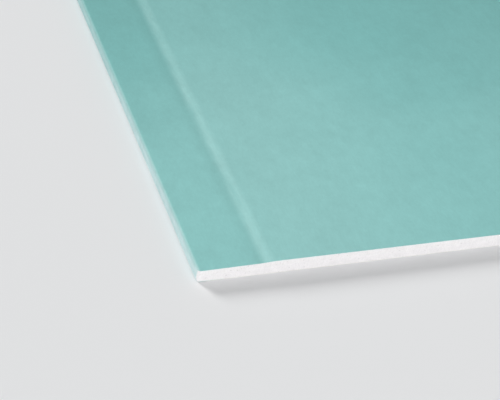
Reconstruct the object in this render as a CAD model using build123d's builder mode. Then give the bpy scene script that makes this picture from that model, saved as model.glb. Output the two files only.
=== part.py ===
from build123d import *
import os

# Drywall sheet, lying face up on its back.
# X runs across the sheet between its two paper-wrapped long edges, Y runs along it
# between its two cut ends, and Z is up. The origin is the middle of the underside.

# Whole sheet, in millimetres
sheet_width = 1200.0
sheet_length = 2400.0
sheet_thickness = 12.5

# The two papers
paper_thickness = 0.35
lap_width = 22.0  # strip of the face paper that is folded under the core
back_paper_inset = 8.0  # from each long edge to the edge of the back paper

# Tapered long edges, which leave room for jointing tape and filler
taper_width = 58.0  # from the long edge to where the flat face starts
ramp_width = 8.0  # short steep step at the inner side of the taper
ramp_recess = 0.75  # how far the foot of the ramp lies below the flat face
edge_recess = 1.45  # how far the face lies below the flat at the long edge
ramp_bend_radius = 80.0  # soft bends at the top and the foot of the ramp

# Folds of the face paper round the long edge, on the paper's outer side
face_fold_radius = 1.6
back_fold_radius = 1.2

# Places that follow from the sizes above
half_width = sheet_width / 2
half_length = sheet_length / 2
ramp_top = half_width - taper_width
ramp_foot = ramp_top + ramp_width
lap_end = half_width - lap_width
back_paper_width = sheet_width - 2 * back_paper_inset

# Corners of the face paper's outer side on the right half of the section, from the
# end of its lap under the core, out to the long edge, and up and in to the flat face.
# The lap lies on top of the back paper, so it is one paper thickness off the floor.
right_corners = [
    (lap_end, paper_thickness),
    (half_width, paper_thickness),
    (half_width, sheet_thickness - edge_recess),
    (ramp_foot, sheet_thickness - ramp_recess),
    (ramp_top, sheet_thickness),
]
right_radii = [
    back_fold_radius,
    face_fold_radius,
    ramp_bend_radius,
    ramp_bend_radius,
]
left_corners = [(-x, z) for x, z in reversed(right_corners)]
section_corners = right_corners + left_corners
section_radii = right_radii + right_radii[::-1]

# Face paper: one sheet that covers the face, dips down the ramps and tapers, folds
# round both long edges and ends in a lap under the core.
with BuildPart() as face_paper:
    with BuildSketch(Plane.XZ) as paper_section:
        with BuildLine():
            FilletPolyline(*section_corners, radius=section_radii)
            offset(amount=paper_thickness, side=Side.LEFT)
        make_face()
    extrude(amount=half_length, both=True)

# Gypsum core: all that the face paper wraps, with a shallow rebate for each lap on
# its underside, and bare at the two cut ends.
with BuildPart() as gypsum_core:
    with BuildSketch(Plane.XZ):
        with BuildLine():
            wrapped_side = FilletPolyline(*section_corners, radius=section_radii)
            Line(wrapped_side @ 1, wrapped_side @ 0)
        make_face()
        add(paper_section.sketch, mode=Mode.SUBTRACT)
    extrude(amount=half_length, both=True)

# Back paper: a flat sheet under the core and over the laps, narrower than the board.
with BuildPart() as back_paper:
    with BuildSketch(Plane.XY):
        Rectangle(back_paper_width, sheet_length)
    extrude(amount=paper_thickness)

face_paper.part.label = "face_paper"
gypsum_core.part.label = "gypsum_core"
back_paper.part.label = "back_paper"

os.makedirs("parts", exist_ok=True)
export_step(face_paper.part, "parts/face_paper.step")
export_step(gypsum_core.part, "parts/gypsum_core.step")
export_step(back_paper.part, "parts/back_paper.step")
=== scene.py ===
import math

import bmesh
import bpy
from mathutils import Matrix, Vector


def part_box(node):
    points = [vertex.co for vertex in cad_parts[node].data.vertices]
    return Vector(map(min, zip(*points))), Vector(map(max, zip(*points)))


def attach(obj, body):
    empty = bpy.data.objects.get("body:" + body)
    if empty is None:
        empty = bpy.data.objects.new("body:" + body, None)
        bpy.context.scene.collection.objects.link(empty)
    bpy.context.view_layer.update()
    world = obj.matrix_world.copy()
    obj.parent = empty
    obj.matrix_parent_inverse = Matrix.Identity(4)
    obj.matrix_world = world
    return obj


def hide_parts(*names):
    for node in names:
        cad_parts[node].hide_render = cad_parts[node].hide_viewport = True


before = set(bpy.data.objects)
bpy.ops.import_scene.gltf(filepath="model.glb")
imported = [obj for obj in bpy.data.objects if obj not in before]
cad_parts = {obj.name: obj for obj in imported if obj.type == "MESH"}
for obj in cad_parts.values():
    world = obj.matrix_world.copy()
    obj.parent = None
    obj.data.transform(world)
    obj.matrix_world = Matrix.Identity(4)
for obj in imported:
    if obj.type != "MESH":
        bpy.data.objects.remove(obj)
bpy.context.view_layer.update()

# Camera
# The photograph is taken from in front of the sheet's left corner, a little under a
# metre away, with a long lens that is turned clockwise about its own axis.
sheet_low, sheet_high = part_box("face_paper")
near_corner = Vector((sheet_low.x, sheet_low.y, 0.0))
camera_from_corner = Vector((-0.2870, -0.5644, 0.6256))  # metres
camera_heading = math.radians(29.02)  # turned right, away from the sheet's length
camera_dip = math.radians(40.37)
camera_roll = math.radians(14.21)
sensor_width = 36.0
focal_share = 1238.3 / 500  # focal length over the picture's width

bpy.ops.object.camera_add()
camera = bpy.context.object
camera.name = "camera"
camera.matrix_world = (
    Matrix.Translation(near_corner + camera_from_corner)
    @ Matrix.Rotation(-camera_heading, 4, "Z")
    @ Matrix.Rotation(math.pi / 2 - camera_dip, 4, "X")
    @ Matrix.Rotation(camera_roll, 4, "Z")
)
camera.data.sensor_width = sensor_width
camera.data.lens = focal_share * sensor_width
camera.data.clip_start = 0.01
bpy.context.scene.camera = camera
bpy.context.scene.view_settings.view_transform = "Standard"


# Studio
# A pale floor that fades into a pale backdrop, under an even sky. A soft lamp low at the
# back left throws the shadow, and two more fill the front and the right. A weak soft spot
# from the far side, on the face paper alone, gives the near corner its sheen.
def linear(colour):
    """An sRGB hex colour as the linear colour that a shader takes."""
    parts = [int(colour[i:i + 2], 16) / 255 for i in (1, 3, 5)]
    return [p / 12.92 if p < 0.04045 else ((p + 0.055) / 1.055) ** 2.4 for p in parts] + [1.0]


def add_node(owner, kind, settings=None, inputs=None):
    """Adds a node to a material or world, with its settings, and its inputs as values or links."""
    made = owner.node_tree.nodes.new(kind)
    for name, value in (settings or {}).items():
        setattr(made, name, value)
    for name, value in (inputs or {}).items():
        if isinstance(value, bpy.types.NodeSocket):
            owner.node_tree.links.new(value, made.inputs[name])
        else:
            made.inputs[name].default_value = value
    return made


def new_material(name):
    """An empty material, ready for its nodes."""
    material = bpy.data.materials.new(name)
    material.use_nodes = True
    material.node_tree.nodes.clear()
    return material


backdrop_colour = linear("#ECEDEE")
floor_colour = linear("#EFF0F1")
floor_plain_to = 1.8  # metres from the middle, where the floor starts to fade
floor_fades_by = 7.0
sky_strength = 0.37

world = bpy.data.worlds.new("studio")
world.use_nodes = True
world.node_tree.nodes.clear()
# The camera, and rays off a shiny or a clear surface, see the backdrop, and all others the sky
rays = add_node(world, "ShaderNodeLightPath")
seen = add_node(world, "ShaderNodeMath", {"operation": "MAXIMUM"},
                {0: rays.outputs["Is Camera Ray"], 1: rays.outputs["Is Glossy Ray"]})
seen = add_node(world, "ShaderNodeMath", {"operation": "MAXIMUM"},
                {0: seen.outputs[0], 1: rays.outputs["Is Transmission Ray"]})
sky = add_node(world, "ShaderNodeBackground", None,
               {"Color": (1.0, 1.0, 1.0, 1.0), "Strength": sky_strength})
shown = add_node(world, "ShaderNodeBackground", None, {"Color": backdrop_colour, "Strength": 1.0})
either = add_node(world, "ShaderNodeMixShader", None,
                  {0: seen.outputs[0], 1: sky.outputs[0], 2: shown.outputs[0]})
add_node(world, "ShaderNodeOutputWorld", None, {"Surface": either.outputs[0]})
bpy.context.scene.world = world


def way_to(heading, height):
    """The way to a lamp, by its heading, clockwise from +Y, and its height, in degrees."""
    a, e = math.radians(heading), math.radians(height)
    return Vector((math.sin(a) * math.cos(e), math.cos(a) * math.cos(e), math.sin(e)))


for name, strength, softness, heading, height in (
    ("key_lamp", 2.15, 20, -33, 27),
    ("front_lamp", 1.60, 40, 188, 18),
    ("side_lamp", 0.20, 50, 100, 20),
):
    bpy.ops.object.light_add(type="SUN")
    sun = bpy.context.object
    sun.data.energy = strength
    sun.data.angle = math.radians(softness)
    sun.rotation_euler = way_to(heading, height).to_track_quat("Z", "Y").to_euler()
    sun.name = name

spot_aim = near_corner + Vector((0.06, -0.11, 0.0))
spot_way = way_to(27, 45)
spot_distance = 3.2
spot_power = 128
spot_cone = 18  # degrees
spot_radius = 0.25
bpy.ops.object.light_add(type="SPOT", location=spot_aim + spot_distance * spot_way)
spot = bpy.context.object
spot.name = "sheen_lamp"
spot.data.energy = spot_power
spot.data.spot_size = math.radians(spot_cone)
spot.data.spot_blend = 1.0
spot.data.shadow_soft_size = spot_radius
spot.rotation_euler = spot_way.to_track_quat("Z", "Y").to_euler()
spot.visible_camera = False
under_spot = bpy.data.collections.new("under_the_sheen_lamp")
spot.light_linking.receiver_collection = under_spot

floor_radius = 40

bpy.ops.object.select_all(action="DESELECT")
bpy.ops.mesh.primitive_circle_add(vertices=96, radius=floor_radius, fill_type="NGON")
floor = bpy.context.object
floor.name = "floor"
paint = new_material("matt_floor_paint")
# Far out it fades into the backdrop, for the camera alone
place = add_node(paint, "ShaderNodeTexCoord").outputs["Object"]
away = add_node(paint, "ShaderNodeVectorMath", {"operation": "LENGTH"}, {0: place})
fade = add_node(paint, "ShaderNodeMapRange", {"interpolation_type": "SMOOTHSTEP"},
                {"Value": away.outputs["Value"], "From Min": floor_plain_to,
                 "From Max": floor_fades_by})
rays = add_node(paint, "ShaderNodeLightPath")
fade = add_node(paint, "ShaderNodeMath", {"operation": "MULTIPLY"},
                {0: fade.outputs[0], 1: rays.outputs["Is Camera Ray"]})
coat = add_node(paint, "ShaderNodeBsdfDiffuse", None, {"Color": floor_colour})
glow = add_node(paint, "ShaderNodeEmission", None, {"Color": backdrop_colour, "Strength": 1.0})
either = add_node(paint, "ShaderNodeMixShader", None,
                  {0: fade.outputs[0], 1: coat.outputs[0], 2: glow.outputs[0]})
add_node(paint, "ShaderNodeOutputMaterial", None, {"Surface": either.outputs[0]})
floor.data.materials.append(paint)


# Gypsum core
# The slab of set gypsum between the papers. It is cast wet into the folded face paper and
# sawn square at both ends, where it shows bare: white, with fine grain, pores and crumbs.
core_low, core_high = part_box("gypsum_core")
paper_thickness = sheet_high.z - core_high.z
lap_end = sheet_high.x - 0.022  # where the folded-in face paper ends under the core
ramp_top = sheet_high.x - 0.058  # where the flat face ends
ramp_foot = ramp_top + 0.008
ramp_drop = 0.00075  # how far the face falls down the ramp
taper_drop = 0.00070  # and from its foot to the edge
ramp_slope = ramp_drop / (ramp_foot - ramp_top)
taper_slope = taper_drop / (sheet_high.x - ramp_foot)
ramp_bend = 0.080  # radius of the soft bends at the ramp's top and foot
face_fold = 0.0016  # radius of the paper's outer side, up at the face
back_fold = 0.0012  # and down at the back
core_wear = 0.0020  # radius that the core's upright corners are worn to
sawn_depth = 0.0004  # how deep the saw tears a cut end
sawn_grain = 0.003
column = 0.0015  # spacing of the points across the sheet
row = 0.0010  # and up its cut ends
last_column = 0.0030  # room for the folds
end_depth = [0.0015, 0.006]  # the worn part of an end, measured in from the cut
hair = 0.00001  # reach for finding points by their place
fold_reach = 0.0001  # and for finding the edges that are folded
smooth_angle = math.radians(35)


def face_drop(x):
    """How far the face lies below the flat at x: down the ramp, then down the shallow taper."""
    drop = 0.0
    for start, steeper in ((ramp_top, ramp_slope), (ramp_foot, taper_slope - ramp_slope)):
        past = x - start
        reach = ramp_bend * abs(steeper) / 2
        if abs(past) < reach:
            drop += steeper * (past + reach) ** 2 / (4 * reach)
        elif past > 0:
            drop += steeper * past
    return drop


flat_half = ramp_top - ramp_bend * ramp_slope / 2
steps = round((sheet_high.x - last_column - flat_half) / column)
stops = [flat_half + (sheet_high.x - last_column - flat_half) * (i + 1) / steps
         for i in range(steps)]


def start_flat(name, z):
    """The flat middle of the sheet at height z, in columns, with nothing else selected."""
    bpy.ops.object.select_all(action="DESELECT")
    bpy.ops.mesh.primitive_grid_add(x_subdivisions=round(2 * flat_half / column),
                                    y_subdivisions=1, size=1, location=(0, 0, z))
    piece = bpy.context.object
    piece.name = name
    bpy.ops.transform.resize(value=(2 * flat_half, sheet_high.y - sheet_low.y, 1))
    bpy.ops.object.transform_apply(location=True, rotation=True, scale=True)
    bpy.ops.object.mode_set(mode="EDIT")
    return piece


def pick(piece, kind, test):
    """Selects the VERT, EDGE or FACE elements of the piece whose middle passes the test."""
    bpy.ops.mesh.select_all(action="DESELECT")
    bpy.ops.mesh.select_mode(type=kind)
    mesh = bmesh.from_edit_mesh(piece.data)
    for element in {"VERT": mesh.verts, "EDGE": mesh.edges, "FACE": mesh.faces}[kind]:
        if kind == "VERT":
            chosen = test(element.co)
        else:
            chosen = test(sum((v.co for v in element.verts), Vector()) / len(element.verts))
        element.select_set(chosen)
    mesh.select_flush_mode()
    bmesh.update_edit_mesh(piece.data)


def draw_out(side, outer, foot, top):
    """Draws the selected side out to the edge, pressed to the taper. Its foot stays level."""
    x, height = flat_half, top - foot
    for stop in stops + [outer]:
        lower = top - face_drop(stop) - foot
        bpy.ops.mesh.extrude_region_move(
            TRANSFORM_OT_translate={"value": (side * (stop - x), 0, 0)})
        bpy.ops.transform.resize(value=(1, 1, lower / height), center_override=(0, 0, foot))
        x, height = stop, lower


def round_fold(piece, radius, test):
    """Rounds the long edges that pass the test."""
    pick(piece, "EDGE", lambda p: test(p) and abs(p.y) < core_high.y - hair)
    bpy.ops.mesh.bevel(offset=radius, segments=6, affect="EDGES", clamp_overlap=False)


def cut_across(places, normal):
    """Adds a line of points all round the piece at each place, square to the normal."""
    for where in places:
        bpy.ops.mesh.select_all(action="SELECT")
        bpy.ops.mesh.bisect(plane_co=where, plane_no=normal)


def blunt_corners(radius, fill):
    """Wears the four upright corners to that radius, in flat cuts, which fill can close."""
    for side in (-1, 1):
        for end in (-1, 1):
            middle = Vector((side * (sheet_high.x - radius), end * (sheet_high.y - radius), 0))
            for turn in (22, 45, 68):
                out = Vector((side * math.sin(math.radians(turn)),
                              end * math.cos(math.radians(turn)), 0))
                bpy.ops.mesh.select_all(action="SELECT")
                bpy.ops.mesh.bisect(plane_co=middle + radius * out, plane_no=out,
                                    use_fill=fill, clear_outer=True)


def roughen_ends(piece, depth, grain):
    """Lets the points of both cut ends fall back by up to depth, in grains of that size."""
    for end, sign in (("near", -1), ("far", 1)):
        cut = piece.vertex_groups.new(name=end)
        cut.add([v.index for v in piece.data.vertices if v.co.y * sign > core_high.y - hair],
                1.0, "REPLACE")
        pattern = bpy.data.textures.new(f"{piece.name}_{end}", "CLOUDS")
        pattern.noise_scale = grain
        push = piece.modifiers.new(end, "DISPLACE")
        push.texture = pattern
        push.texture_coords = "LOCAL"
        push.direction = "Y"
        push.mid_level = 0.0
        push.strength = -sign * depth
        push.vertex_group = end
        bpy.ops.object.modifier_apply(modifier=end)
        piece.vertex_groups.clear()


core = start_flat("gypsum_slab", core_low.z)
bpy.ops.mesh.select_all(action="SELECT")
bpy.ops.mesh.extrude_region_move(
    TRANSFORM_OT_translate={"value": (0, 0, core_high.z - core_low.z)})
for side in (-1, 1):
    pick(core, "FACE", lambda p: p.x * side > flat_half - hair)
    draw_out(side, core_high.x, core_low.z, core_high.z)
cut_across([(side * x, 0, 0) for side in (-1, 1) for x in (lap_end - hair, lap_end)], (1, 0, 0))
pick(core, "VERT", lambda p: abs(p.x) > lap_end - hair / 2 and p.z < core_low.z + hair)
bpy.ops.transform.translate(value=(0, 0, paper_thickness))
for radius, height in (
    (face_fold - paper_thickness, core_high.z - face_drop(core_high.x)),
    (back_fold - paper_thickness, core_low.z + paper_thickness),
):
    round_fold(core, radius,
               lambda p: abs(p.x) > core_high.x - hair and abs(p.z - height) < fold_reach)
cut_across([(0, end * (core_high.y - depth), 0) for end in (-1, 1) for depth in end_depth],
           (0, 1, 0))
blunt_corners(core_wear, fill=True)
rows = round((core_high.z - core_low.z) / row)
for i in range(1, rows):
    pick(core, "FACE", lambda p: abs(p.y) > core_high.y - hair)
    level = core_low.z + (core_high.z - core_low.z) * i / rows
    bpy.ops.mesh.bisect(plane_co=(0, 0, level), plane_no=(0, 0, 1))
bpy.ops.object.mode_set(mode="OBJECT")
roughen_ends(core, sawn_depth, sawn_grain)
bpy.ops.object.shade_smooth_by_angle(angle=smooth_angle)


def mottle(material, place, layers):
    """A tone about 1 that wavers in patches. Each layer gives a patch's size in millimetres
    along x, y and z, how far it is turned in degrees, and how much the tone wavers."""
    tone = 1.0
    for size, turn, share in layers:
        patches = add_node(material, "ShaderNodeMapping", {"vector_type": "TEXTURE"},
                           {"Vector": place, "Rotation": (0, 0, math.radians(turn)),
                            "Scale": [s / 1000 for s in size]})
        noise = add_node(material, "ShaderNodeTexNoise", None,
                         {"Vector": patches.outputs["Vector"], "Scale": 1.0, "Detail": 4.0})
        waver = add_node(material, "ShaderNodeMath", {"operation": "MULTIPLY_ADD"},
                         {0: noise.outputs["Fac"], 1: 2 * share, 2: -share})
        tone = add_node(material, "ShaderNodeMath", {"operation": "ADD"},
                        {0: waver.outputs[0], 1: tone}).outputs[0]
    return tone


# Set gypsum, sawn: a dull chalky white. Crystals and dust give it a fine grain, which is drawn
# at about a millimetre so that it shows, and the saw opens the air pores of the foamed core.
chalk_colour = linear("#F1EFF0")
chalk_roughness = 0.92
plaster = new_material("sawn_set_gypsum")
place = add_node(plaster, "ShaderNodeTexCoord").outputs["Object"]
tone = mottle(plaster, place, [
    ((1.1, 1.1, 1.1), 0, 0.11),  # grain
    ((1.3, 1.3, 40.0), 0, 0.06),  # upright marks of the saw
    ((8.0, 8.0, 5.0), 0, 0.07),  # lumps
])
pore_spacing = 0.0026
pore_rim = 0.30  # radius of the largest pores, as a share of their spacing
pore_floor = 0.16
painted_pore_shade = 0.16  # painted shade: how much darker the shade in a pore is painted
sawn_relief = 0.0006
cells = add_node(plaster, "ShaderNodeTexVoronoi", None,
                 {"Vector": place, "Scale": 1 / pore_spacing})
chance = add_node(plaster, "ShaderNodeSeparateColor", None, {"Color": cells.outputs["Color"]})
pore_reach = add_node(plaster, "ShaderNodeMath", {"operation": "DIVIDE"},
                      {0: cells.outputs["Distance"], 1: chance.outputs["Red"]})
pore = add_node(plaster, "ShaderNodeMapRange", {"interpolation_type": "SMOOTHSTEP"},
                {"Value": pore_reach.outputs[0], "From Min": pore_rim, "From Max": pore_floor})
# Each pore is painted darker by the shade that falls into its hollow: painted shade
shade = add_node(plaster, "ShaderNodeMath", {"operation": "MULTIPLY_ADD"},
                 {0: pore.outputs[0], 1: -painted_pore_shade, 2: tone})
chalk = add_node(plaster, "ShaderNodeVectorMath", {"operation": "SCALE"},
                 {0: chalk_colour[:3], "Scale": shade.outputs[0]})
relief = add_node(plaster, "ShaderNodeBump", None,
                  {"Strength": 1.0, "Distance": sawn_relief, "Height": shade.outputs[0]})
shader = add_node(plaster, "ShaderNodeBsdfPrincipled", None,
                  {"Base Color": chalk.outputs[0], "Roughness": chalk_roughness,
                   "Normal": relief.outputs["Normal"]})
add_node(plaster, "ShaderNodeOutputMaterial", None, {"Surface": shader.outputs[0]})
core.data.materials.append(plaster)
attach(core, "root")
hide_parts("gypsum_core")


# Face paper
# One sheet of blue-green sized paper over the face. It dips at the tapers, is folded round
# both long edges before the plaster sets, and ends in a glued lap under the core.
edge_height = sheet_high.z - face_drop(sheet_high.x)
face_wear = 0.0032  # radius that the paper's corners are worn to
torn_grain = 0.004

face = start_flat("folded_face_paper", sheet_high.z)
for side in (-1, 1):
    pick(face, "EDGE", lambda p: p.x * side > flat_half - hair)
    draw_out(side, sheet_high.x, sheet_low.z, sheet_high.z)
    bpy.ops.mesh.extrude_region_move(
        TRANSFORM_OT_translate={"value": (0, 0, sheet_low.z - edge_height)})
    bpy.ops.mesh.extrude_region_move(
        TRANSFORM_OT_translate={"value": (side * (lap_end - sheet_high.x), 0, 0)})
bpy.ops.mesh.select_all(action="SELECT")
bpy.ops.mesh.normals_make_consistent(inside=False)
for radius, height in ((face_fold, edge_height), (back_fold, sheet_low.z)):
    round_fold(face, radius,
               lambda p: abs(p.x) > sheet_high.x - hair and abs(p.z - height) < fold_reach)
cut_across([(0, end * (core_high.y - depth), 0) for end in (-1, 1) for depth in end_depth],
           (0, 1, 0))
# Its corners are worn while it is one surface, so that the thickness closes their cut edges
blunt_corners(face_wear, fill=False)
bpy.ops.object.mode_set(mode="OBJECT")
thickness = face.modifiers.new("thickness", "SOLIDIFY")
thickness.thickness = paper_thickness
thickness.offset = -1
thickness.use_even_offset = True
bpy.ops.object.modifier_apply(modifier="thickness")
roughen_ends(face, sawn_depth, torn_grain)
bpy.ops.object.shade_smooth_by_angle(angle=smooth_angle)

# Sized face paper: smooth and dyed blue-green, with half the shine of solid size, because its
# fibres stay porous. They lie mostly along the sheet and are drawn a few times coarser than
# they are, over the faint clouds of pulp and of the dye.
sized = new_material("sized_face_paper")
place = add_node(sized, "ShaderNodeTexCoord").outputs["Object"]
axes = add_node(sized, "ShaderNodeSeparateXYZ", None, {"Vector": place})
across = add_node(sized, "ShaderNodeMath", {"operation": "ABSOLUTE"}, {0: axes.outputs["X"]})
along = add_node(sized, "ShaderNodeMath", {"operation": "ABSOLUTE"}, {0: axes.outputs["Y"]})
fibres = mottle(sized, place, [
    ((0.8, 7.0, 5.0), 9, 0.04),
    ((0.8, 7.0, 5.0), -12, 0.04),
    ((2.2, 2.6, 3.0), 0, 0.05),
])
clouds = mottle(sized, place, [
    ((5, 7, 5), -35, 0.045),
    ((12, 15, 14), 20, 0.065),
    ((30, 45, 30), -15, 0.055),
    ((90, 140, 90), 0, 0.03),
    ((500, 700, 500), 0, 0.05),
    ((7, 900, 7), 0, 0.012),  # lines left by the forming belt
])
# The face is painted paler near its cut ends and deeper in colour farther in: painted light near
# the ends, painted shade farther in
painted_shade_colour = linear("#72AEAB")
painted_light_colour = linear("#7FB7B4")
near_end_from = sheet_high.y - 0.330
near_end_fully = sheet_high.y - 0.060
middle_share = 0.6  # how strongly the painted light and sheen, and the dust, show in the middle of the sheet's length, next to 1 at its ends
ragged = add_node(sized, "ShaderNodeMath", {"operation": "MULTIPLY"},
                  {0: along.outputs[0], 1: mottle(sized, place, [((240, 160, 240), 0, 0.12)])})
near_end = add_node(sized, "ShaderNodeMapRange", {"interpolation_type": "SMOOTHSTEP"},
                 {"Value": ragged.outputs[0], "From Min": near_end_from, "From Max": near_end_fully})
colour = add_node(sized, "ShaderNodeMix", {"data_type": "RGBA"},
                  {0: near_end.outputs[0], 6: painted_shade_colour, 7: painted_light_colour})
end_share = add_node(sized, "ShaderNodeMath", {"operation": "MULTIPLY_ADD"},
                   {0: near_end.outputs[0], 1: 1 - middle_share, 2: middle_share})
# The flat face is painted a little paler beside each taper, fading out over 200 mm: painted light
shoulder_light_colour = linear("#85B9B6")
shoulder_from = ramp_top - 0.200
shoulder_fully = ramp_top - 0.010
shoulder_light = add_node(sized, "ShaderNodeMapRange", {"interpolation_type": "SMOOTHSTEP"},
                    {"Value": across.outputs[0], "From Min": shoulder_from,
                     "From Max": shoulder_fully})
off_taper = add_node(sized, "ShaderNodeMapRange", {"interpolation_type": "SMOOTHSTEP"},
                     {"Value": across.outputs[0], "From Min": ramp_foot, "From Max": ramp_top})
for share in (off_taper, end_share):
    shoulder_light = add_node(sized, "ShaderNodeMath", {"operation": "MULTIPLY"},
                        {0: shoulder_light.outputs[0], 1: share.outputs[0]})
colour = add_node(sized, "ShaderNodeMix", {"data_type": "RGBA"},
                  {0: shoulder_light.outputs[0], 6: colour.outputs[2], 7: shoulder_light_colour})
# The ramp is painted paler along its length, in broken streaks: a painted sheen
ramp_sheen_colour = linear("#91C3C0")
ramp_sheen_reach = 0.0075  # either side of the ramp's middle
off_ramp = add_node(sized, "ShaderNodeMath", {"operation": "SUBTRACT"},
                    {0: across.outputs[0], 1: (ramp_top + ramp_foot) / 2})
off_ramp = add_node(sized, "ShaderNodeMath", {"operation": "ABSOLUTE"}, {0: off_ramp.outputs[0]})
ramp_sheen = add_node(sized, "ShaderNodeMapRange", {"interpolation_type": "SMOOTHSTEP"},
                  {"Value": off_ramp.outputs[0], "From Min": ramp_sheen_reach, "From Max": 0.0})
ramp_sheen_breaks = mottle(sized, place, [((3, 14, 9), 6, 0.7), ((9, 60, 9), 0, 1.0)])
for share in (ramp_sheen_breaks, end_share.outputs[0]):
    ramp_sheen = add_node(sized, "ShaderNodeMath", {"operation": "MULTIPLY"},
                      {0: ramp_sheen.outputs[0], 1: share})
colour = add_node(sized, "ShaderNodeMix", {"data_type": "RGBA"},
                  {0: ramp_sheen.outputs[0], 6: colour.outputs[2], 7: ramp_sheen_colour})
# Just outside the ramp's foot, where the paper bends hollow, a band is painted darker: painted
# shade
foot_shade_middle = ramp_foot + 0.0025
foot_shade_reach = 0.0095
foot_shade_tone = 0.93
off_foot = add_node(sized, "ShaderNodeMath", {"operation": "SUBTRACT"},
                    {0: across.outputs[0], 1: foot_shade_middle})
off_foot = add_node(sized, "ShaderNodeMath", {"operation": "ABSOLUTE"}, {0: off_foot.outputs[0]})
foot_shade = add_node(sized, "ShaderNodeMapRange", {"interpolation_type": "SMOOTHSTEP"},
                   {"Value": off_foot.outputs[0], "From Min": foot_shade_reach, "From Max": 0.0,
                    "To Min": 1.0, "To Max": foot_shade_tone})
# The folded edge is paler towards its foot and near the cut: partly real scuffs and gypsum dust,
# partly a painted sheen
dust_and_sheen_colour = linear("#CCE1E2")
dust_and_sheen_from = sheet_high.x - 0.0022
dust_and_sheen_ends_at = 0.0145  # a height just above the fold, so that the fold is a little paler too
dust_and_sheen_full_at = 0.0055
dust_and_sheen_share = 0.84
cut_dust_from = sheet_high.y - 0.010
cut_dust_fully = sheet_high.y - 0.001
cut_dust_share = 1.5
paling = add_node(sized, "ShaderNodeMapRange", {"interpolation_type": "SMOOTHSTEP"},
                {"Value": across.outputs[0], "From Min": dust_and_sheen_from, "From Max": sheet_high.x})
lower = add_node(sized, "ShaderNodeMapRange", {"interpolation_type": "SMOOTHSTEP"},
                 {"Value": axes.outputs["Z"], "From Min": dust_and_sheen_ends_at,
                  "From Max": dust_and_sheen_full_at, "To Min": 0.0, "To Max": dust_and_sheen_share})
near_cut = add_node(sized, "ShaderNodeMapRange", {"interpolation_type": "SMOOTHSTEP"},
                    {"Value": along.outputs[0], "From Min": cut_dust_from,
                     "From Max": cut_dust_fully, "To Min": 1.0, "To Max": cut_dust_share})
scuffs = mottle(sized, place, [((8, 16, 6), 0, 0.4)])
for share in (lower.outputs[0], end_share.outputs[0], near_cut.outputs[0], scuffs):
    paling = add_node(sized, "ShaderNodeMath", {"operation": "MULTIPLY", "use_clamp": True},
                    {0: paling.outputs[0], 1: share})
colour = add_node(sized, "ShaderNodeMix", {"data_type": "RGBA"},
                  {0: paling.outputs[0], 6: colour.outputs[2], 7: dust_and_sheen_colour})
# The paper's cut ends are torn to pale undyed fibres, found by how squarely they face the end
torn_colour = linear("#E3EFEE")
torn_from = 0.45
torn_fully = 0.75
facing = add_node(sized, "ShaderNodeTexCoord").outputs["Normal"]
facing = add_node(sized, "ShaderNodeSeparateXYZ", None, {"Vector": facing}).outputs["Y"]
facing = add_node(sized, "ShaderNodeMath", {"operation": "ABSOLUTE"}, {0: facing})
torn = add_node(sized, "ShaderNodeMapRange", {"interpolation_type": "SMOOTHSTEP"},
                {"Value": facing.outputs[0], "From Min": torn_from, "From Max": torn_fully})
colour = add_node(sized, "ShaderNodeMix", {"data_type": "RGBA"},
                  {0: torn.outputs[0], 6: colour.outputs[2], 7: torn_colour})
tone = add_node(sized, "ShaderNodeMath", {"operation": "MULTIPLY"}, {0: fibres, 1: clouds})
# The tone below includes the band of painted shade outside the ramp's foot
tone = add_node(sized, "ShaderNodeMath", {"operation": "MULTIPLY"},
                {0: tone.outputs[0], 1: foot_shade.outputs[0]})
colour = add_node(sized, "ShaderNodeVectorMath", {"operation": "SCALE"},
                  {0: colour.outputs[2], "Scale": tone.outputs[0]})
# Dust and torn fibres are duller than the sized surface, and so is the top of each fibre
sized_roughness = 0.62
dusty_roughness = 0.90
fibre_relief = 0.0001
dull = add_node(sized, "ShaderNodeMath", {"operation": "MAXIMUM"},
                {0: paling.outputs[0], 1: torn.outputs[0]})
dull = add_node(sized, "ShaderNodeMapRange", None,
                {"Value": dull.outputs[0], "To Min": sized_roughness, "To Max": dusty_roughness})
dull = add_node(sized, "ShaderNodeMath", {"operation": "MULTIPLY", "use_clamp": True},
                {0: dull.outputs[0], 1: fibres})
relief = add_node(sized, "ShaderNodeBump", None,
                  {"Strength": 1.0, "Distance": fibre_relief, "Height": fibres})
shader = add_node(sized, "ShaderNodeBsdfPrincipled", None,
                  {"Base Color": colour.outputs[0], "Roughness": dull.outputs[0],
                   "Specular IOR Level": 0.25, "Normal": relief.outputs["Normal"]})
add_node(sized, "ShaderNodeOutputMaterial", None, {"Surface": shader.outputs[0]})
face.data.materials.append(sized)
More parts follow.
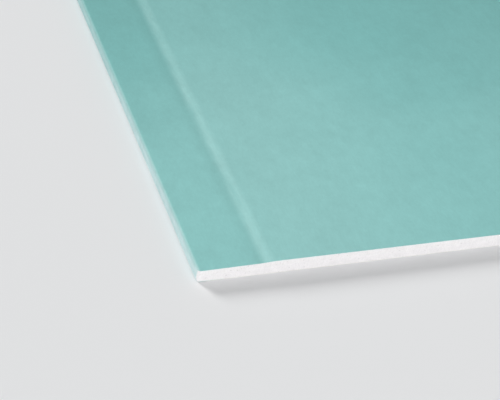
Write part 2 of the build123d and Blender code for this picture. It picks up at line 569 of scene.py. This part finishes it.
under_spot.objects.link(face)  # the sheen lamp lights this piece alone
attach(face, "root")
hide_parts("face_paper")


# Back paper
# A flat sheet of plain recycled paper, laid on the wet core and glued over the two laps. It
# lies against the studs or the wall, so it is neither dyed nor sized.
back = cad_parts["back_paper"]

# Recycled paper: dull warm grey, mottled by short fibres of many papers, and dusty at the cut
grey_colour = linear("#D2CCC0")
dusty_colour = linear("#EAE8E6")
recycled_roughness = 0.88
dusty_from = sheet_high.y - 0.0015
dusty_fully = sheet_high.y - 0.0005
recycled = new_material("recycled_back_paper")
place = add_node(recycled, "ShaderNodeTexCoord").outputs["Object"]
tone = mottle(recycled, place, [
    ((0.9, 5.0, 5.0), 16, 0.06),
    ((0.9, 5.0, 5.0), -16, 0.06),
    ((3.0, 3.0, 3.0), 0, 0.04),
    ((60, 90, 60), 0, 0.03),
])
axes = add_node(recycled, "ShaderNodeSeparateXYZ", None, {"Vector": place})
along = add_node(recycled, "ShaderNodeMath", {"operation": "ABSOLUTE"}, {0: axes.outputs["Y"]})
paling = add_node(recycled, "ShaderNodeMapRange", {"interpolation_type": "SMOOTHSTEP"},
                {"Value": along.outputs[0], "From Min": dusty_from, "From Max": dusty_fully})
colour = add_node(recycled, "ShaderNodeMix", {"data_type": "RGBA"},
                  {0: paling.outputs[0], 6: grey_colour, 7: dusty_colour})
colour = add_node(recycled, "ShaderNodeVectorMath", {"operation": "SCALE"},
                  {0: colour.outputs[2], "Scale": tone})
dull = add_node(recycled, "ShaderNodeMath", {"operation": "MULTIPLY", "use_clamp": True},
                {0: tone, 1: recycled_roughness})
relief = add_node(recycled, "ShaderNodeBump", None,
                  {"Strength": 1.0, "Distance": fibre_relief, "Height": tone})
shader = add_node(recycled, "ShaderNodeBsdfPrincipled", None,
                  {"Base Color": colour.outputs[0], "Roughness": dull.outputs[0],
                   "Normal": relief.outputs["Normal"]})
add_node(recycled, "ShaderNodeOutputMaterial", None, {"Surface": shader.outputs[0]})
back.data.materials.clear()
back.data.materials.append(recycled)
